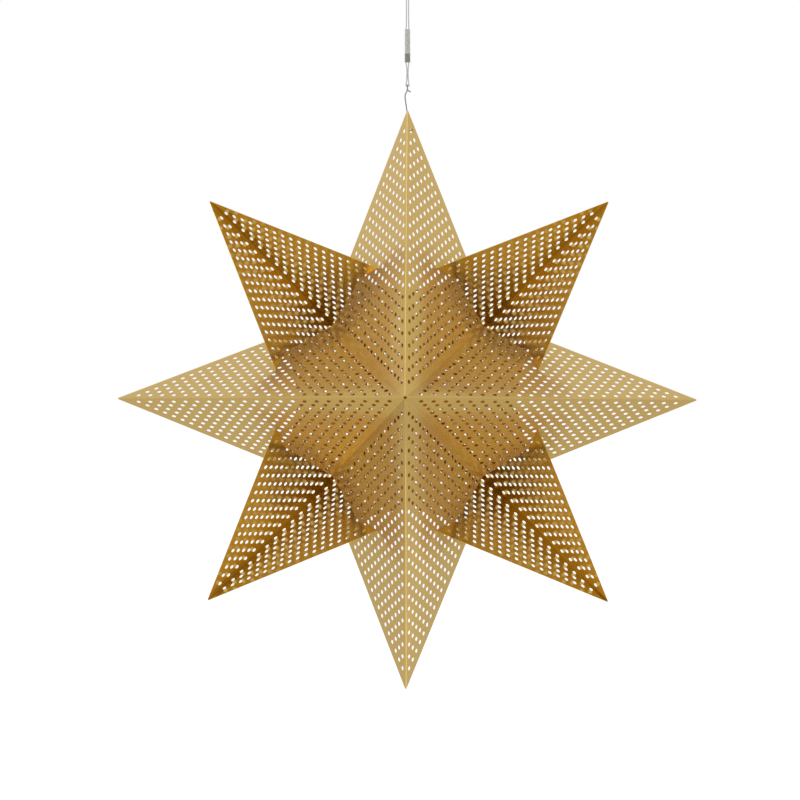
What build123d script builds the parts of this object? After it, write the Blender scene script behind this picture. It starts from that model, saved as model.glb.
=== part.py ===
"""Eight-pointed star pendant of perforated gold sheet, hung by a wire hook on a doubled clear line.

Millimetres. +Z is up and -Y is the front. The origin is on the ceiling face, on the axis of the
screw hook's shank. The star is two crossed four-armed stars: the front one has its ridges forward
and its arms up, down and to the sides, and the rear one is the same star turned over and turned by
half an arm. Each star is four folded petals, riveted together behind the valleys. The two stars
pass through slots in each other, and each one's wings lie against the other's outer face.
"""

import os
from math import atan2, cos, degrees, pi, radians, sin, sqrt, tan

from build123d import *

# ---- star sheet ----
TIP_RADIUS = 300.0  # star centre to a point
NOTCH_RADIUS = 124.0  # star centre to where two outlines would meet with no slot cut
RIDGE_FALL = 13.5  # degrees that a ridge falls back from the front
VALLEY_FALL = 51.3  # degrees that a valley falls back
CROSS_RADIUS = 138.0  # star centre to the straight line where the two stars cross
BODY_CUT = 11.0  # the valleys are cut this far short of the notch
SHEET = 0.5
SLOT_ROOM = 1.5  # added to the sheet's thickness for a slot's width
SLOT_PAST = 1.0  # how far a slot runs past the middle of the crossing
APEX_ON_RIDGE = 2.3  # reach of the small open centre along a ridge
APEX_ON_VALLEY = 1.3  # and along a valley
POINT_BLUNT = 0.6  # half width of a blunted point
ARMS = 4

# ---- perforation ----
HOLE_DIAMETER = 4.4
HOLE_ROWS = 24  # divisions of each edge of a facet
HOLE_MARGIN = 1.9  # least sheet between a hole and a slot

# ---- flanges behind the valleys, and their rivets ----
FLANGE_WIDTH = 7.0
FLANGE_START = 12.0  # from the star's axis
FLANGE_STOP = 6.0  # short of the cut end of the valley
RIVETS_PER_VALLEY = 3
RIVET_DIAMETER = 3.0
RIVET_CLEARANCE = 0.05
RIVET_HEAD_DIAMETER = 5.0
RIVET_HEAD_HEIGHT = 1.1
RIVET_TAIL_DIAMETER = 4.2
RIVET_TAIL_HEIGHT = 0.8

# ---- hanging line, ferrule and sleeve ----
LINE_DIAMETER = 1.3
LINE_DROP = 96.6  # between the middles of the line's upper and lower bends
HANG_CLEARANCE = 0.05  # between a wire and the line that hangs on it
FERRULE_LENGTH = 9.0
FERRULE_WALL = 0.7
FERRULE_RISE = 23.0  # lower bend to the ferrule
LINE_END_GAP = 1.0  # between the line's two ends, inside the ferrule
SLEEVE_LENGTH = 25.2
SLEEVE_WALL = 0.55
SLEEVE_CLEARANCE = 0.1

# ---- wire hook ----
HOOK_WIRE = 1.3
HOOK_LENGTH = 46.9  # top of the eye to the seat in the star
EYE_RADIUS = 2.6  # of the wire's centre line
EYE_DROP = 5.6  # top of the eye to the crossing of its two ends
EYE_TAIL = 3.4  # sideways reach of the free end
EYE_TAIL_DROP = 1.6
EYE_TWIST = 0.3  # the leg's wire passes the crossing this much higher than the free end's
HOOK_BOW = 2.9  # sideways bow of the leg under the eye
LEG_BACK = 7.4  # the leg stands this far back inside the star's point
LEG_SIDE = 0.6  # and this far to the side at its foot
LEG_RISE = 8.7  # foot of the leg above the seat
HEEL_DROP = 1.2  # the wire dips this far under the seat before it passes through the sheet
SEAT_CLEARANCE = 0.55  # between the wire and the top of the hole that it holds
SEAT_REACH = 2.2  # free end of the wire past the sheet
SEAT_TURN_UP = 0.65  # rise of the free end
WIRE_BEND = 12.0  # largest bend radius in the leg
BEND_SHARE = 0.49  # a bend takes at most this share of the straights beside it

# ---- ceiling screw hook ----
CEILING_WIRE = 1.8
CEILING_HOOK_RADIUS = 6.9  # of the wire's centre line
CEILING_NECK = 9.1  # ceiling to the top of the round part
CEILING_MOUTH = 4.2  # drop from the top of the round part to its open end
NECK_BEND = 2.0  # bend radius of the wire between the neck and the round part
SCREW_DIAMETER = 2.5
SCREW_LENGTH = 16.0
SCREW_POINT = 3.5
COLLAR_DIAMETER = 12.0
COLLAR_THICKNESS = 1.5
COLLAR_ROUND = 0.6
POINT_RADIUS = 0.2  # of the screw's blunted point


def atAngle(radius, angle):
    """Along and across the upper ridge, from a radius and the angle from that ridge."""
    return radius * cos(angle), radius * sin(angle)


# ---- worked out from the sizes above ----
RIDGE_SLOPE = tan(radians(RIDGE_FALL))
VALLEY_SLOPE = tan(radians(VALLEY_FALL))
MID_ANGLE = radians(180.0 / ARMS / 2)  # from a ridge to the middle of its facet
VALLEY_ANGLE = radians(180.0 / ARMS)
ACROSS_SLOPE = (VALLEY_SLOPE - RIDGE_SLOPE * cos(VALLEY_ANGLE)) / sin(VALLEY_ANGLE)
APEX_HEIGHT = CROSS_RADIUS * (RIDGE_SLOPE * cos(MID_ANGLE) + ACROSS_SLOPE * sin(MID_ANGLE))
OUTWARD = Vector(ACROSS_SLOPE, -1, RIDGE_SLOPE).normalized()  # of the first facet
SLOT_WIDTH = SHEET + SLOT_ROOM
BODY_RADIUS = NOTCH_RADIUS - BODY_CUT
ROUND_CENTRE_Z = -(CEILING_NECK + CEILING_HOOK_RADIUS)
BEND_RADIUS = (max(CEILING_WIRE, HOOK_WIRE) + LINE_DIAMETER) / 2 + HANG_CLEARANCE
UPPER_BEND_Z = (ROUND_CENTRE_Z - CEILING_HOOK_RADIUS + (CEILING_WIRE + LINE_DIAMETER) / 2
                + HANG_CLEARANCE - BEND_RADIUS)
LOWER_BEND_Z = UPPER_BEND_Z - LINE_DROP
EYE_TOP_Z = LOWER_BEND_Z - BEND_RADIUS + (LINE_DIAMETER + HOOK_WIRE) / 2 + HANG_CLEARANCE
SEAT_Z = EYE_TOP_Z - HOOK_LENGTH
SEAT_RISE = (HOLE_DIAMETER - HOOK_WIRE) / 2 - SEAT_CLEARANCE  # wire above the middle of its hole
VALLEY_END = atAngle(NOTCH_RADIUS, VALLEY_ANGLE)


def onFacet(along, across):
    """A point of the first facet's outer face, from its place along and across the upper ridge."""
    return Vector(across, -APEX_HEIGHT + RIDGE_SLOPE * along + ACROSS_SLOPE * across, along)


def atCrossing(outward, sideways):
    """A place given from the star's centre towards the middle of the crossing, and square to that."""
    along = outward * cos(MID_ANGLE) - sideways * sin(MID_ANGLE)
    across = outward * sin(MID_ANGLE) + sideways * cos(MID_ANGLE)
    return along, across


def wingTip():
    """Where the facet's outer edge meets the crossing line."""
    endAlong, endAcross = VALLEY_END
    tipOut = TIP_RADIUS * cos(MID_ANGLE) + POINT_BLUNT * sin(MID_ANGLE)
    endOut = endAlong * cos(MID_ANGLE) + endAcross * sin(MID_ANGLE)
    share = (tipOut - CROSS_RADIUS) / (tipOut - endOut)
    return TIP_RADIUS + share * (endAlong - TIP_RADIUS), POINT_BLUNT + share * (endAcross - POINT_BLUNT)


def distanceToEdge(point, start, end):
    edge = end - start
    share = min(max((point - start).dot(edge) / edge.dot(edge), 0), 1)
    return (point - start - edge * share).length


def holePlaces():
    """Nodes of the facet's triangle divided into equal rows, less those past or beside the slot."""
    slotEdge = [wingTip(), atCrossing(CROSS_RADIUS, -SLOT_PAST),
                atCrossing(CROSS_RADIUS - SLOT_WIDTH, -SLOT_PAST), atAngle(BODY_RADIUS, VALLEY_ANGLE)]
    corners = [onFacet(*place) for place in slotEdge]
    bodyEdge = corners[3] - corners[2]
    towardsMiddle = bodyEdge.cross(onFacet(0, 0) - corners[2])
    places = []
    for row in range(1, HOLE_ROWS):
        for column in range(1, HOLE_ROWS - row):
            along = (row * TIP_RADIUS + column * VALLEY_END[0]) / HOLE_ROWS
            across = column * VALLEY_END[1] / HOLE_ROWS
            centre = onFacet(along, across)
            outward = along * cos(MID_ANGLE) + across * sin(MID_ANGLE)
            sideways = across * cos(MID_ANGLE) - along * sin(MID_ANGLE)
            beyondBody = bodyEdge.cross(centre - corners[2]).dot(towardsMiddle) < 0
            inCut = sideways > -SLOT_PAST and outward < CROSS_RADIUS and beyondBody
            clear = min(distanceToEdge(centre, *side) for side in zip(corners, corners[1:]))
            if not inCut and clear >= HOLE_DIAMETER / 2 + HOLE_MARGIN:
                places.append(centre)
    return places


def valleyPoint(radius, depth=0.0):
    """A point on the first valley, or behind it by a depth square to the valley."""
    fall = radians(VALLEY_FALL)
    reach = radius - depth * sin(fall)
    return Vector(reach * sin(VALLEY_ANGLE),
                  -APEX_HEIGHT + VALLEY_SLOPE * radius + depth * cos(fall),
                  reach * cos(VALLEY_ANGLE))


def rivetPlaces():
    """Rivet centres behind the first valley, spread evenly along the flange."""
    last = BODY_RADIUS - FLANGE_STOP
    pitch = (last - FLANGE_START) / RIVETS_PER_VALLEY
    depth = (FLANGE_WIDTH + SHEET) / 2
    return [valleyPoint(FLANGE_START + pitch * (n + 0.5) + depth * sin(radians(VALLEY_FALL)), depth)
            for n in range(RIVETS_PER_VALLEY)]


TOWARDS_RIDGE = Vector(-cos(VALLEY_ANGLE), 0, sin(VALLEY_ANGLE))  # square to the first valley


def makePetal():
    """One arm: two perforated facets folded at the ridge, with a flange behind each valley."""
    outline = [(APEX_ON_RIDGE, 0), (TIP_RADIUS, 0), (TIP_RADIUS, POINT_BLUNT), wingTip(),
               atCrossing(CROSS_RADIUS, -SLOT_PAST), atCrossing(CROSS_RADIUS - SLOT_WIDTH, -SLOT_PAST),
               atAngle(BODY_RADIUS, VALLEY_ANGLE), atAngle(APEX_ON_VALLEY, VALLEY_ANGLE)]
    edge = Wire.make_polygon([onFacet(*place) for place in outline], close=True)
    holes = [Wire.make_circle(HOLE_DIAMETER / 2, Plane(origin=centre, z_dir=OUTWARD))
             for centre in holePlaces()]
    facet = extrude(Face(edge, holes), amount=SHEET, dir=-OUTWARD)
    room = 2 * TIP_RADIUS
    facet = facet & Pos(room / 2, 0, room / 2) * Box(room, room, 2 * room)  # mitred at the ridge

    flangeEnd = BODY_RADIUS - FLANGE_STOP
    flangeEdge = Wire.make_polygon([valleyPoint(FLANGE_START), valleyPoint(flangeEnd),
                                    valleyPoint(flangeEnd, FLANGE_WIDTH),
                                    valleyPoint(FLANGE_START + FLANGE_WIDTH, FLANGE_WIDTH)], close=True)
    flangeHoles = [Wire.make_circle(RIVET_DIAMETER / 2 + RIVET_CLEARANCE,
                                    Plane(origin=place, z_dir=TOWARDS_RIDGE)) for place in rivetPlaces()]
    flange = extrude(Face(flangeEdge, flangeHoles), amount=SHEET, dir=TOWARDS_RIDGE)
    half = facet + flange
    return half + mirror(half, about=Plane.YZ)


def makeRivet(place):
    """A rivet through both flanges: a rounded head on one side and its set tail on the other."""
    fromBase = (Align.CENTER, Align.CENTER, Align.MIN)
    shank = Cylinder(RIVET_DIAMETER / 2, 2 * SHEET)
    head = Cylinder(RIVET_HEAD_DIAMETER / 2, RIVET_HEAD_HEIGHT, align=fromBase)
    head = fillet(head.edges().sort_by(Axis.Z)[-1], RIVET_HEAD_HEIGHT * 0.8)
    tail = Cone(RIVET_TAIL_DIAMETER / 2, (RIVET_TAIL_DIAMETER - RIVET_TAIL_HEIGHT) / 2,
                RIVET_TAIL_HEIGHT, align=fromBase)
    rivet = shank + Pos(0, 0, SHEET) * head + Pos(0, 0, -SHEET) * Rot(180, 0, 0) * tail
    return Plane(origin=place, z_dir=TOWARDS_RIDGE) * rivet


def turned(shape, steps):
    """A copy turned clockwise about the star's axis, as seen from the front, in steps of half an arm."""
    return Rot(0, steps * degrees(VALLEY_ANGLE), 0) * shape


def bendRadii(points, largest):
    """A bend radius for each corner: as large as its two straights allow, up to the largest."""
    radii = []
    for before, corner, after in zip(points, points[1:], points[2:]):
        arriving = Vector(corner) - Vector(before)
        leaving = Vector(after) - Vector(corner)
        halfTurn = radians(arriving.get_angle(leaving)) / 2
        roomy = BEND_SHARE * min(arriving.length, leaving.length) / tan(halfTurn)
        radii.append(min(largest, roomy))
    return radii


def wireAlong(path, diameter):
    start = Plane(origin=path @ 0, z_dir=path % 0)
    return sweep(start * Circle(diameter / 2), path=path)


# ---- the star, first in its own frame with its centre at the origin ----
petal = makePetal()
rearPetal = mirror(petal, about=Plane.XZ)
rivets = [makeRivet(place) for place in rivetPlaces()]
rearRivets = [mirror(rivet, about=Plane.XZ) for rivet in rivets]

seatAlong = ((HOLE_ROWS - 2) * TIP_RADIUS + VALLEY_END[0]) / HOLE_ROWS + SEAT_RISE
seatAcross = VALLEY_END[1] / HOLE_ROWS  # the hole nearest the point
seat = onFacet(seatAlong, seatAcross)
HANG_TILT = atan2(seat.Y, seat.Z)  # brings the star's centre straight under its seat
hang = Pos(0, 0, SEAT_Z) * Rot(degrees(HANG_TILT), 0, 0) * Pos(0, -seat.Y, -seat.Z)

nodes = {}
for steps, side in zip((0, 2, 4, 6), ("top", "right", "bottom", "left")):
    nodes["front_petal_" + side] = hang * turned(petal, steps)
for steps, side in zip((1, 3, 5, 7), ("upper_right", "lower_right", "lower_left", "upper_left")):
    nodes["rear_petal_" + side] = hang * turned(rearPetal, steps)
nodes["front_rivets"] = Compound([hang * turned(r, 2 * arm) for arm in range(ARMS) for r in rivets])
nodes["rear_rivets"] = Compound([hang * turned(r, 2 * arm + 1) for arm in range(ARMS) for r in rearRivets])

# ---- wire hook: free end, eye round the line's lower bend, leg, and seat in the star's top hole ----
crossZ = EYE_TOP_Z - EYE_DROP
pointZ = SEAT_Z + TIP_RADIUS - seatAlong
freeLeg = crossZ - pointZ
hookPoints = [
    (EYE_TAIL, -EYE_RADIUS + HOOK_WIRE / 2, crossZ - EYE_TAIL_DROP),
    (0, -EYE_RADIUS, crossZ),
    (0, -EYE_RADIUS, EYE_TOP_Z),
    (0, EYE_RADIUS, EYE_TOP_Z),
    (0, EYE_RADIUS, crossZ + EYE_TWIST),
    (-HOOK_BOW, LEG_BACK / 4, crossZ - freeLeg / 4),
    (-HOOK_BOW / 2, LEG_BACK * 5 / 8, pointZ + freeLeg / 4),
    (-LEG_SIDE, LEG_BACK, pointZ - HOOK_WIRE),
    (LEG_SIDE, LEG_BACK, SEAT_Z + LEG_RISE),
    (LEG_SIDE, HOOK_WIRE / 2, SEAT_Z - HEEL_DROP),
    (seatAcross + SEAT_REACH, 0, SEAT_Z + SEAT_TURN_UP),
]
hookPath = FilletPolyline(*hookPoints, radius=bendRadii(hookPoints, WIRE_BEND))
nodes["wire_hook"] = wireAlong(hookPath, HOOK_WIRE)

# ---- the line: one length, doubled, its two ends meeting in the ferrule ----
ferruleZ = LOWER_BEND_Z + FERRULE_RISE
jointZ = ferruleZ + FERRULE_LENGTH / 2
lineCorners = {height: [(side * BEND_RADIUS, 0, height) for side in (-1, 1)]
               for height in (UPPER_BEND_Z, LOWER_BEND_Z)}
(upperLeft, upperRight), (lowerLeft, lowerRight) = lineCorners.values()
linePath = Wire([
    Line((-BEND_RADIUS, 0, jointZ - LINE_END_GAP / 2), lowerLeft),
    ThreePointArc(lowerLeft, (0, 0, LOWER_BEND_Z - BEND_RADIUS), lowerRight),
    Line(lowerRight, upperRight),
    ThreePointArc(upperRight, (0, 0, UPPER_BEND_Z + BEND_RADIUS), upperLeft),
    Line(upperLeft, (-BEND_RADIUS, 0, jointZ + LINE_END_GAP / 2)),
])
nodes["hanging_line"] = wireAlong(linePath, LINE_DIAMETER)
lineVolume = pi * LINE_DIAMETER**2 / 4 * linePath.length
print("line length", round(linePath.length, 1), "bend radius", round(BEND_RADIUS, 2),
      "volume", round(nodes["hanging_line"].volume, 1), "of", round(lineVolume, 1))

ferruleDepth = LINE_DIAMETER + 2 * FERRULE_WALL
ferruleWidth = 2 * BEND_RADIUS + ferruleDepth
ferruleSection = SlotOverall(ferruleWidth, ferruleDepth)
for side in (-1, 1):
    ferruleSection -= Pos(side * BEND_RADIUS, 0) * Circle(LINE_DIAMETER / 2)
nodes["line_ferrule"] = Pos(0, 0, ferruleZ) * extrude(ferruleSection, amount=FERRULE_LENGTH)

sleeveBore = BEND_RADIUS + LINE_DIAMETER / 2 + SLEEVE_CLEARANCE
sleeveSection = Circle(sleeveBore + SLEEVE_WALL) - Circle(sleeveBore)
nodes["line_sleeve"] = Pos(0, 0, ferruleZ + FERRULE_LENGTH) * extrude(sleeveSection, amount=SLEEVE_LENGTH)

# ---- ceiling screw hook: shank, collar and round hook in one piece ----
neckRise = sqrt((CEILING_HOOK_RADIUS + NECK_BEND) ** 2 - NECK_BEND**2)
neckEnd = (0, 0, ROUND_CENTRE_Z + neckRise)
meetShare = CEILING_HOOK_RADIUS / (CEILING_HOOK_RADIUS + NECK_BEND)
meet = (0, NECK_BEND * meetShare, ROUND_CENTRE_Z + neckRise * meetShare)
mouthRise = CEILING_HOOK_RADIUS - CEILING_MOUTH
mouth = (0, -sqrt(CEILING_HOOK_RADIUS**2 - mouthRise**2), ROUND_CENTRE_Z + mouthRise)
roundBottom = (0, 0, ROUND_CENTRE_Z - CEILING_HOOK_RADIUS)
ceilingPath = Wire([
    Line((0, 0, -COLLAR_THICKNESS / 2), neckEnd),
    TangentArc(neckEnd, meet, tangent=(0, 0, -1)),
    ThreePointArc(meet, (0, CEILING_HOOK_RADIUS, ROUND_CENTRE_Z), roundBottom),
    ThreePointArc(roundBottom, (0, -CEILING_HOOK_RADIUS, ROUND_CENTRE_Z), mouth),
])
ceilingHook = wireAlong(ceilingPath, CEILING_WIRE)
collar = Pos(0, 0, -COLLAR_THICKNESS / 2) * Cylinder(COLLAR_DIAMETER / 2, COLLAR_THICKNESS)
collar = fillet(collar.edges().sort_by(Axis.Z)[0], COLLAR_ROUND)
shank = Pos(0, 0, (SCREW_LENGTH - SCREW_POINT) / 2) * Cylinder(SCREW_DIAMETER / 2, SCREW_LENGTH - SCREW_POINT)
point = Pos(0, 0, SCREW_LENGTH - SCREW_POINT / 2) * Cone(SCREW_DIAMETER / 2, POINT_RADIUS, SCREW_POINT)
nodes["ceiling_hook"] = ceilingHook + collar + shank + point

os.makedirs("parts", exist_ok=True)
for name, shape in nodes.items():
    shape.label = name
    export_step(shape, f"parts/{name}.step")
print("tilt", round(degrees(HANG_TILT), 2), "apex height", round(APEX_HEIGHT, 1), "seat z", round(SEAT_Z, 1),
      "holes in a facet", len(holePlaces()), "nodes", len(nodes))
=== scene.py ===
import math
import bmesh
import bpy
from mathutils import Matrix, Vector


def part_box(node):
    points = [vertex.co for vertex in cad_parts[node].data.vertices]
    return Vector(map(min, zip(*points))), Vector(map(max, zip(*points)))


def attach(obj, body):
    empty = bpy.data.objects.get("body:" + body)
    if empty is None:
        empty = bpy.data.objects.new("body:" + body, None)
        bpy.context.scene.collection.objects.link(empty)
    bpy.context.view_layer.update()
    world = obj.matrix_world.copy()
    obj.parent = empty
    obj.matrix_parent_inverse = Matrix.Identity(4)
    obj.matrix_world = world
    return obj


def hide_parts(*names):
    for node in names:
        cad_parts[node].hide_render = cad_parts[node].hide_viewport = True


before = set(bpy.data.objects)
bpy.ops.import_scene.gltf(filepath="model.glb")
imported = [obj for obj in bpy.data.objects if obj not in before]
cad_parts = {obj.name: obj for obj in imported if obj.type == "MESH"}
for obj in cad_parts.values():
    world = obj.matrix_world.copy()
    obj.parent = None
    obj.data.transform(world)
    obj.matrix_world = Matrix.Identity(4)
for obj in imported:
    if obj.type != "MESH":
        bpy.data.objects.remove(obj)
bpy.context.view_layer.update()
scene = bpy.context.scene
print("CAD frame loaded:", len(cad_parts), "nodes")

petalNames = [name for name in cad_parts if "_petal_" in name]
corners = [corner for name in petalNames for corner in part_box(name)]
starLow = Vector(min(corner[axis] for corner in corners) for axis in range(3))
starHigh = Vector(max(corner[axis] for corner in corners) for axis in range(3))
starCentre = (starLow + starHigh) / 2


# ---- shader maths ----
class Wire:
    # a shader socket that plain maths works on
    def __init__(self, tree, socket):
        self.tree = tree
        self.socket = socket

    def maths(self, operation, *values):
        node = self.tree.nodes.new("ShaderNodeMath")
        node.operation = operation
        for slot, value in zip(node.inputs, values):
            connect(self.tree, slot, value)
        return Wire(self.tree, node.outputs[0])

    def __add__(self, other):
        return self.maths("ADD", self, other)

    __radd__ = __add__

    def __sub__(self, other):
        return self.maths("SUBTRACT", self, other)

    def __rsub__(self, other):
        return self.maths("SUBTRACT", other, self)

    def __mul__(self, other):
        return self.maths("MULTIPLY", self, other)

    __rmul__ = __mul__


def connect(tree, slot, value):
    if isinstance(value, Wire):
        tree.links.new(value.socket, slot)
    else:
        slot.default_value = value


class Shader:
    # the node tree of one material or of the world
    def __init__(self, owner):
        owner.use_nodes = True
        self.tree = owner.node_tree
        self.tree.nodes.clear()

    def node(self, kind, settings=None, sockets=None, output=0):
        node = self.tree.nodes.new("ShaderNode" + kind)
        for name, value in (settings or {}).items():
            setattr(node, name, value)
        for name, value in (sockets or {}).items():
            connect(self.tree, node.inputs[name], value)
        return Wire(self.tree, node.outputs[output]) if len(node.outputs) else node

    def mixColour(self, share, first, second):
        node = self.tree.nodes.new("ShaderNodeMix")
        node.data_type = "RGBA"
        for slot, value in ((node.inputs[0], share), (node.inputs[6], first), (node.inputs[7], second)):
            connect(self.tree, slot, value)
        return Wire(self.tree, node.outputs[2])

    def noise(self, place, scale, detail, roughness=0.5):
        return self.node("TexNoise", None, {"Vector": place, "Scale": scale, "Detail": detail,
                                            "Roughness": roughness})

    def smooth(self, value, low, high):
        return self.node("MapRange", {"interpolation_type": "SMOOTHSTEP"},
                         {"Value": value, "From Min": low, "From Max": high})

    def separate(self, vector):
        node = self.node("SeparateXYZ", None, {"Vector": vector}).socket.node
        return [Wire(self.tree, socket) for socket in node.outputs]

    def objectPlace(self):
        return self.node("TexCoord", output="Object")

    def bump(self, height, distance, strength=1.0, onto=None):
        sockets = {"Height": height, "Distance": distance, "Strength": strength}
        if onto is not None:
            sockets["Normal"] = onto
        return self.node("Bump", None, sockets)

    def principled(self, **sockets):
        surface = self.node("BsdfPrincipled", None, {name.replace("_", " "): value
                                                     for name, value in sockets.items()})
        self.node("OutputMaterial", None, {"Surface": surface})


def newMaterial(name):
    material = bpy.data.materials.new(name)
    return material, Shader(material)


def dress(piece, material):
    piece.data.materials.clear()
    piece.data.materials.append(material)


# ---- camera ----
camera = {
    "azimuth": 1.3,  # degrees to the right of the star
    "elevation": 6.5,
    "distance": 3.15,
    "lens": 135.0,
    "sensor": 36.0,
    "starPixel": (407.4, 395.1),  # where the star's centre stands in the photograph
    "photoSide": 800.0,
    "nearest": 0.05,
    "farthest": 50.0,
}


def makeCamera():
    azimuth, elevation = math.radians(camera["azimuth"]), math.radians(camera["elevation"])
    back = Vector((math.sin(azimuth) * math.cos(elevation),
                   -math.cos(azimuth) * math.cos(elevation), math.sin(elevation)))
    turn = (-back).to_track_quat("-Z", "Y")
    perPixel = camera["sensor"] / camera["lens"] * camera["distance"] / camera["photoSide"]
    right, up = turn @ Vector((1, 0, 0)), turn @ Vector((0, 1, 0))
    offRight = (camera["photoSide"] / 2 - camera["starPixel"][0]) * perPixel
    offUp = (camera["starPixel"][1] - camera["photoSide"] / 2) * perPixel
    data = bpy.data.cameras.new("photoCamera")
    data.lens = camera["lens"]
    data.sensor_width = camera["sensor"]
    data.clip_start, data.clip_end = camera["nearest"], camera["farthest"]
    eye = bpy.data.objects.new("photoCamera", data)
    eye.location = starCentre + back * camera["distance"] + right * offRight + up * offUp
    eye.rotation_mode = "QUATERNION"
    eye.rotation_quaternion = turn
    scene.collection.objects.link(eye)
    scene.camera = eye


makeCamera()
print("camera placed")


# ---- modelling helpers ----
def startEdit(piece):
    bpy.ops.object.select_all(action="DESELECT")
    piece.select_set(True)
    bpy.context.view_layer.objects.active = piece
    bpy.ops.object.mode_set(mode="EDIT")


def choose(piece, kind, test):
    # selects the vertices or faces that pass a test of place or normal
    bpy.ops.mesh.select_all(action="DESELECT")
    bpy.ops.mesh.select_mode(type=kind)
    mesh = bmesh.from_edit_mesh(piece.data)
    for part in mesh.verts if kind == "VERT" else mesh.faces:
        if test(part):
            part.select_set(True)
    mesh.select_flush_mode()
    bmesh.update_edit_mesh(piece.data)


def ringAt(height):
    bpy.ops.mesh.select_all(action="SELECT")
    bpy.ops.mesh.bisect(plane_co=(0, 0, height), plane_no=(0, 0, 1))


def resizeChosen(factors, centre):
    bpy.ops.transform.resize(value=factors, center_override=centre)


def finishPiece(piece, name, smoothAngle=35):
    bpy.ops.object.mode_set(mode="OBJECT")
    bpy.ops.object.transform_apply(location=True, rotation=True, scale=True)
    bpy.ops.object.shade_smooth_by_angle(angle=math.radians(smoothAngle))
    piece.name = name


def addCylinder(radius, low, high, sides):
    bpy.ops.object.select_all(action="DESELECT")
    bpy.ops.mesh.primitive_cylinder_add(vertices=sides, radius=radius, depth=high - low,
                                        location=(0, 0, (low + high) / 2))
    bpy.ops.object.transform_apply(location=True, rotation=True, scale=True)
    return bpy.context.object


# ---- the ferrule, pressed twice on to the line ----
ferrule = {
    "sides": 40,
    "pressAt": (0.3, 0.7),  # shares of its length
    "pressHalf": 0.0011,
    "pressSteps": (-1, -0.6, 0, 0.6, 1),  # where a press has its rings, in shares of pressHalf
    "pressBy": (0.97, 0.74, 1.0),
    "rim": 0.0004,
    "rimDepth": 0.0003,
}


def makeFerrule():
    low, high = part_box("line_ferrule")
    half, length = (high - low) / 2, high.z - low.z
    piece = addCylinder(half.y, low.z, high.z, ferrule["sides"])
    startEdit(piece)
    for side in (-1, 1):  # from round to flat-sided
        choose(piece, "VERT", lambda v: v.co.x * side > half.y * 0.01)
        bpy.ops.transform.translate(value=(side * (half.x - half.y), 0, 0))
    for share in ferrule["pressAt"]:
        middle = low.z + share * length
        for step in ferrule["pressSteps"]:
            ringAt(middle + step * ferrule["pressHalf"])
        choose(piece, "VERT", lambda v: abs(v.co.z - middle) < ferrule["pressHalf"] * 0.7)
        resizeChosen(ferrule["pressBy"], (0, 0, middle))
    choose(piece, "FACE", lambda f: abs(f.normal.z) > 0.9)
    bpy.ops.mesh.inset(thickness=ferrule["rim"])
    for top in (True, False):
        choose(piece, "FACE", lambda f: abs(f.normal.z) > 0.9 and len(f.verts) > 8
               and (f.calc_center_median().z > low.z + length / 2) == top)
        bpy.ops.mesh.extrude_region_move(
            TRANSFORM_OT_translate={"value": (0, 0, ferrule["rimDepth"] * (-1 if top else 1))})
    finishPiece(piece, "pressedFerrule", 50)
    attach(piece, "line")
    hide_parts("line_ferrule")
    return piece


pressedFerrule = makeFerrule()
print("ferrule made")

# ---- the line: one length of clear nylon, doubled, its ends in the ferrule ----
line = {
    "diameter": 0.0013,
    "length": 0.2023,
    "endGap": 0.001,  # between its two ends, inside the ferrule
    "straightTo": 6,  # diameters from a bend, where its straight stretch ends
    "pinch": 0.0006,  # half the distance between its strands under the ferrule
    "pinchRun": 0.005,  # length over which they come together
    "ferruleRoom": 0.0005,  # under the ferrule, before they start to
    "closeAbove": 0.0011,  # and above the sleeve
    "sides": 4,
}


def makeLine():
    low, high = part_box("hanging_line")
    ferruleLow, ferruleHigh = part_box("line_ferrule")
    joint = (ferruleLow.z + ferruleHigh.z) / 2
    reach = (high.x - low.x - line["diameter"]) / 2
    lowest = low.z + line["diameter"] / 2
    highest = high.z - line["diameter"] / 2
    straight = line["straightTo"] * line["diameter"]
    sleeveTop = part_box("line_sleeve")[1].z
    under = ferruleLow.z - line["ferruleRoom"]
    run = line["pinchRun"]
    route = [
        (-reach, joint - line["endGap"] / 2),
        (-reach, under),
        (-line["pinch"], under - run),
        (-line["pinch"], lowest + reach + run),
        (-reach, lowest + reach),
        (-reach, lowest),
        (reach, lowest),
        (reach, lowest + reach),
        (line["pinch"], lowest + reach + run),
        (line["pinch"], under - run),
        (reach, under),
        (reach, sleeveTop),
        (line["closeAbove"], sleeveTop + run),
        (line["closeAbove"], highest - reach - straight),
        (reach, highest - reach),
        (reach, highest),
        (-reach, highest),
        (-reach, highest - reach),
        (-line["closeAbove"], highest - reach - straight),
        (-line["closeAbove"], sleeveTop + run),
        (-reach, sleeveTop),
        (-reach, joint + line["endGap"] / 2),
    ]
    curve = bpy.data.curves.new("hangingLine", "CURVE")
    curve.dimensions = "3D"
    curve.bevel_depth = 1.0  # times each point's own radius
    curve.bevel_resolution = line["sides"]
    curve.use_fill_caps = True
    spline = curve.splines.new("NURBS")
    spline.points.add(len(route) - 1)
    for point, (x, z) in zip(spline.points, route):
        point.co = (x, 0, z, 1)
        point.radius = line["diameter"] / 2
    spline.order_u = 3
    spline.use_endpoint_u = True
    spline.resolution_u = 12
    piece = bpy.data.objects.new("hangingLine", curve)
    scene.collection.objects.link(piece)
    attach(piece, "line")
    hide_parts("hanging_line")
    return piece


hangingLine = makeLine()
print("hanging line made")

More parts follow.
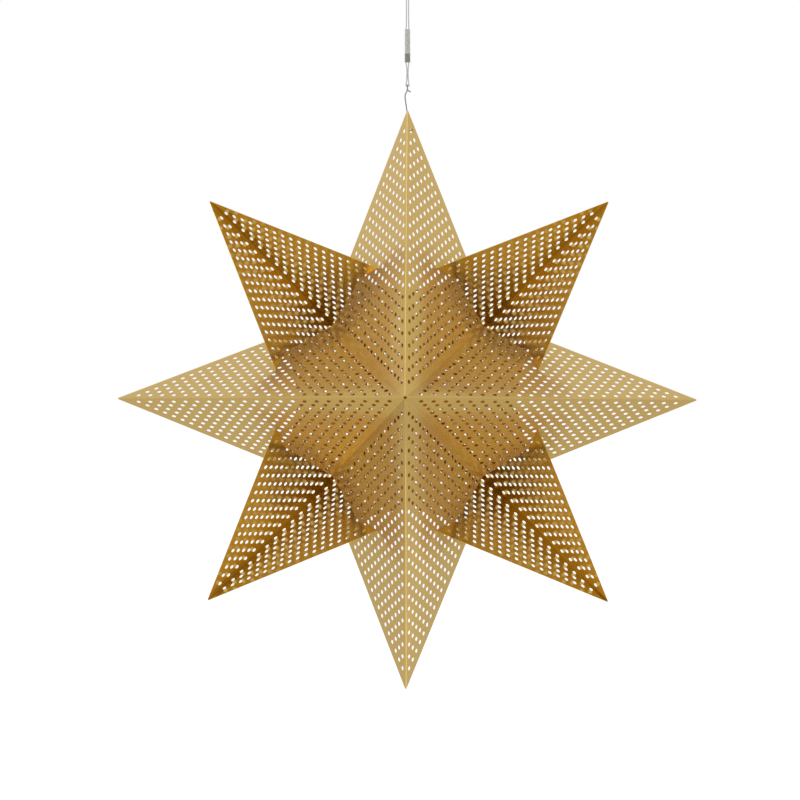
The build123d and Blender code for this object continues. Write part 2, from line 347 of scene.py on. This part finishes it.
# ---- ceiling screw hook: the wire as the CAD has it, with a real thread ----
screw = {
    "core": 0.0009,
    "outer": 0.00125,
    "length": 0.016,
    "pointFrom": 0.0125,
    "pointRadius": 0.0002,
    "pitch": 0.0012,
    "turns": 9,
    "threadFrom": 0.0012,
    "ridge": 0.0004,  # size of the thread's three-cornered section
    "sides": 28,
    "cutAt": 0.00005,  # height at which the CAD's plain shank is cut off
}


def makeScrewHook():
    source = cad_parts["ceiling_hook"]
    hook = bpy.data.objects.new("screwHook", source.data.copy())
    scene.collection.objects.link(hook)
    startEdit(hook)
    bpy.ops.mesh.select_all(action="SELECT")
    bpy.ops.mesh.remove_doubles(threshold=0.000001)
    bpy.ops.mesh.bisect(plane_co=(0, 0, screw["cutAt"]), plane_no=(0, 0, 1), clear_outer=True,
                        use_fill=True)
    finishPiece(hook, "screwHook")
    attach(hook, "ceiling")
    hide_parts("ceiling_hook")

    core = addCylinder(screw["core"], 0, screw["length"], screw["sides"])
    startEdit(core)
    ringAt(screw["pointFrom"])
    choose(core, "VERT", lambda v: v.co.z > screw["length"] - 0.0001)
    shrink = screw["pointRadius"] / screw["core"]
    resizeChosen((shrink, shrink, 1), (0, 0, screw["length"]))
    finishPiece(core, "screwCore")

    bpy.ops.object.select_all(action="DESELECT")
    bpy.ops.mesh.primitive_circle_add(
        vertices=3, radius=screw["ridge"], rotation=(math.pi / 2, math.pi / 2, 0),
        location=(screw["outer"] - screw["ridge"], 0, screw["threadFrom"]))
    ridge = bpy.context.object
    bpy.ops.object.transform_apply(location=True, rotation=True, scale=True)
    winding = ridge.modifiers.new("winding", "SCREW")
    winding.axis = "Z"
    winding.screw_offset = screw["pitch"]
    winding.iterations = screw["turns"]
    winding.steps = winding.render_steps = screw["sides"]
    bpy.ops.object.modifier_apply(modifier="winding")
    startEdit(ridge)
    bpy.ops.mesh.select_all(action="DESELECT")
    bpy.ops.mesh.select_mode(type="EDGE")
    bpy.ops.mesh.select_non_manifold()
    bpy.ops.mesh.edge_face_add()
    bpy.ops.mesh.select_all(action="SELECT")
    bpy.ops.mesh.normals_make_consistent(inside=False)
    finishPiece(ridge, "screwThread", 30)
    for piece in (core, ridge):
        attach(piece, "ceiling")
    return [hook, core, ridge]


screwPieces = makeScrewHook()
print("ceiling screw hook made")

# ---- gold sheet ----
gold = {
    # the front sheet's colour is the rear's gold with more blue: a painted highlight standing in for
    # the paler look that lamplight gives the front star's arms
    "frontColourPaintedPale": (0.76, 0.50, 0.105, 1),
    "rearColour": (0.76, 0.50, 0.085, 1),
    "deepColour": (0.68, 0.43, 0.07, 1),
    "roughness": 0.15,
    "frontCoat": (0.42, 1.7),  # roughness and refraction of the lacquer
    "rearCoat": (0.15, 1.4),
    "grainScale": 900.0,
    "grainShare": 0.5,  # how much of the deeper colour the grain brings
    "grainHeight": 0.00003,
    "roughnessSpread": 0.1,
    "waveScale": 9.0,
    "waveHeight": 0.004,
    "reliefStrength": 0.5,
    "middle": (0.0, 0.0, -0.4489),  # where the star's ridges would cross if it were flat
    "tilt": -7.83,  # degrees that the star hangs back from upright
    "foldRound": 0.0011,  # how far a fold's rounding reaches across the sheet
    "foldSlope": 0.25,
}


def makeGold(name, quarterTurn, front):
    material, shader = newMaterial(name)
    # the star's own directions: x and z along the ridges, y out of the star's back
    toStar = shader.node("Mapping", {"vector_type": "TEXTURE"}, {
        "Vector": shader.objectPlace(), "Location": gold["middle"],
        "Rotation": (math.radians(gold["tilt"]), math.radians(quarterTurn), 0)})
    parts = shader.separate(toStar)
    fromUpright, fromLevel = [part.maths("ABSOLUTE", part) for part in (parts[0], parts[2])]
    ridge = fromUpright.maths("MINIMUM", fromUpright, fromLevel)
    facing = shader.separate(shader.node("TexCoord", output="Normal"))[1]
    outside = facing.maths("GREATER_THAN", facing * (-1 if front else 1), 0.0)
    inFold = ridge.maths("MAXIMUM", gold["foldRound"] - ridge, 0.0)
    fold = inFold * inFold * (1 - 2 * outside) * (gold["foldSlope"] / gold["foldRound"] / 2)
    coatRoughness, coatIor = gold["frontCoat"] if front else gold["rearCoat"]
    place = shader.objectPlace()
    grain = shader.noise(place, gold["grainScale"], 3.0, 0.6)
    waves = shader.noise(place, gold["waveScale"], 1.0)
    # the front star takes the paler colour as painted light for its lit arms; the rear keeps the gold's
    # own colour
    sheetColourFrontPaintedPale = gold["frontColourPaintedPale"] if front else gold["rearColour"]
    colour = shader.mixColour(grain * gold["grainShare"], sheetColourFrontPaintedPale, gold["deepColour"])
    rough = grain * gold["roughnessSpread"] + (gold["roughness"] - gold["roughnessSpread"] / 2)
    relief = shader.bump(waves * gold["waveHeight"], 1.0, gold["reliefStrength"])
    relief = shader.bump(grain * gold["grainHeight"], 1.0, gold["reliefStrength"], relief)
    relief = shader.bump(fold, 1.0, 1.0, relief)
    shader.principled(Base_Color=colour, Metallic=1.0, Roughness=rough, Coat_Weight=1.0,
                      Coat_Roughness=coatRoughness, Coat_IOR=coatIor, Normal=relief)
    return material


goldFront = makeGold("goldFront", 0, True)
goldRear = makeGold("goldRear", 45, False)
for name in petalNames + ["front_rivets", "rear_rivets"]:
    dress(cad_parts[name], goldFront if name.startswith("front") else goldRear)
print("gold done")


# ---- steel, line and sleeve ----
wire = {
    "scratchScale": 1500.0,
    "scratchShare": 0.4,  # how much of the darker tone the scratches bring
    "scratchTone": 0.6,
    "roughnessSpread": 0.15,
    "scratchDepth": 0.00003,
    "scratchStrength": 0.4,
}
plastic = {
    "hazeScale": 900.0,
    "hazeShare": 0.4,
    "hazeTone": 0.8,
    "roughnessSpread": 0.1,
    "ior": 1.5,
}


def makeSteel(name, colour, roughness):
    material, shader = newMaterial(name)
    place = shader.objectPlace()
    scratches = shader.noise(place, wire["scratchScale"], 4.0, 0.7)
    tone = shader.mixColour(scratches * wire["scratchShare"], (*colour, 1),
                            (*[part * wire["scratchTone"] for part in colour], 1))
    rough = scratches * wire["roughnessSpread"] + roughness
    relief = shader.bump(scratches, wire["scratchDepth"], wire["scratchStrength"])
    shader.principled(Base_Color=tone, Metallic=1.0, Roughness=rough, Normal=relief)
    return material


def makeClear(name, colour, roughness, alpha):
    material, shader = newMaterial(name)
    place = shader.objectPlace()
    haze = shader.noise(place, plastic["hazeScale"], 2.0)
    tone = shader.mixColour(haze * plastic["hazeShare"], (*colour, 1),
                            (*[part * plastic["hazeTone"] for part in colour], 1))
    shader.principled(Base_Color=tone, Roughness=haze * plastic["roughnessSpread"] + roughness,
                      Alpha=alpha, IOR=plastic["ior"])
    return material


dress(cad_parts["wire_hook"], makeSteel("springWire", (0.48, 0.46, 0.45), 0.5))
zincWire = makeSteel("zincWire", (0.5, 0.5, 0.49), 0.5)
for piece in screwPieces:
    dress(piece, zincWire)
dress(pressedFerrule, makeSteel("softAluminium", (0.5, 0.5, 0.49), 0.5))
dress(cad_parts["line_sleeve"], makeClear("clearSleeve", (0.88, 0.91, 0.84), 0.3, 0.55))
dress(hangingLine, makeClear("clearNylon", (0.9, 0.87, 0.86), 0.4, 1.0))
print("hanger dressed")

# ---- floor, lamps and world ----
studio = {
    "floorDrop": 0.55,  # floor under the star's lowest point
    "floorSide": 14.0,
    "floorColour": (0.8, 0.8, 0.8, 1),
    "sky": 0.72,  # level of the white surroundings, 1 for what the camera sees
    "backSky": 0.28,  # added behind the star
    "frontDim": 0.42,  # taken away in front of the star, where the room is darker
    "turnFrom": 0.6,  # how far back or front a direction points where that begins
    "turnFull": 0.95,
    "floorGlow": 0.5,  # of the floor, for the camera and for reflections
    "floorSheen": 0.03,
}
lamps = {
    "leftSoftbox": {"towards": (-0.86, -0.02, 0.5), "distance": 2.2, "side": 1.7, "power": 6.0},
    "rightSoftbox": {"towards": (0.86, 0.0, -0.48), "distance": 1.5, "side": 0.8, "power": 1.2},
}


def makeLamp(name, lamp):
    data = bpy.data.lights.new(name, "AREA")
    data.size = lamp["side"]
    data.energy = lamp["power"]
    light = bpy.data.objects.new(name, data)
    towards = Vector(lamp["towards"]).normalized()
    light.location = starCentre + towards * lamp["distance"]
    light.rotation_euler = towards.to_track_quat("Z", "Y").to_euler()
    light.visible_camera = False
    scene.collection.objects.link(light)


def rayKind(shader, kind):
    return shader.node("LightPath", output="Is " + kind + " Ray")


def makeFloor():
    bpy.ops.object.select_all(action="DESELECT")
    bpy.ops.mesh.primitive_plane_add(size=studio["floorSide"],
                                     location=(0, 0, starLow.z - studio["floorDrop"]))
    floor = bpy.context.object
    floor.name = "floor"
    material, shader = newMaterial("palePaper")
    seen, mirrored = rayKind(shader, "Camera"), rayKind(shader, "Glossy")
    paper = shader.node("BsdfDiffuse", None, {"Color": studio["floorColour"]})
    strength = seen * studio["floorGlow"] + mirrored * studio["floorSheen"]
    glow = shader.node("Emission", None, {"Color": (1, 1, 1, 1), "Strength": strength})
    both = shader.node("AddShader")
    shader.tree.links.new(paper.socket, both.socket.node.inputs[0])
    shader.tree.links.new(glow.socket, both.socket.node.inputs[1])
    shader.node("OutputMaterial", None, {"Surface": both})
    dress(floor, material)


def makeWorld():
    world = bpy.data.worlds.new("studioWorld")
    scene.world = world
    shader = Shader(world)
    backward = shader.separate(shader.node("TexCoord", output="Generated"))[1]
    behind = shader.smooth(backward, studio["turnFrom"], studio["turnFull"])
    before = shader.smooth(backward, -studio["turnFrom"], -studio["turnFull"])
    level = behind * studio["backSky"] - before * studio["frontDim"] + studio["sky"]
    straight, through = rayKind(shader, "Camera"), rayKind(shader, "Transmission")
    seen = straight.maths("MAXIMUM", straight, through)
    strength = seen + (1 - seen) * level
    glow = shader.node("Background", None, {"Color": (1, 1, 1, 1), "Strength": strength})
    shader.node("OutputWorld", None, {"Surface": glow})


makeFloor()
makeWorld()
for lampName, lampSizes in lamps.items():
    makeLamp(lampName, lampSizes)
scene.view_settings.view_transform = "Standard"
print("studio made")
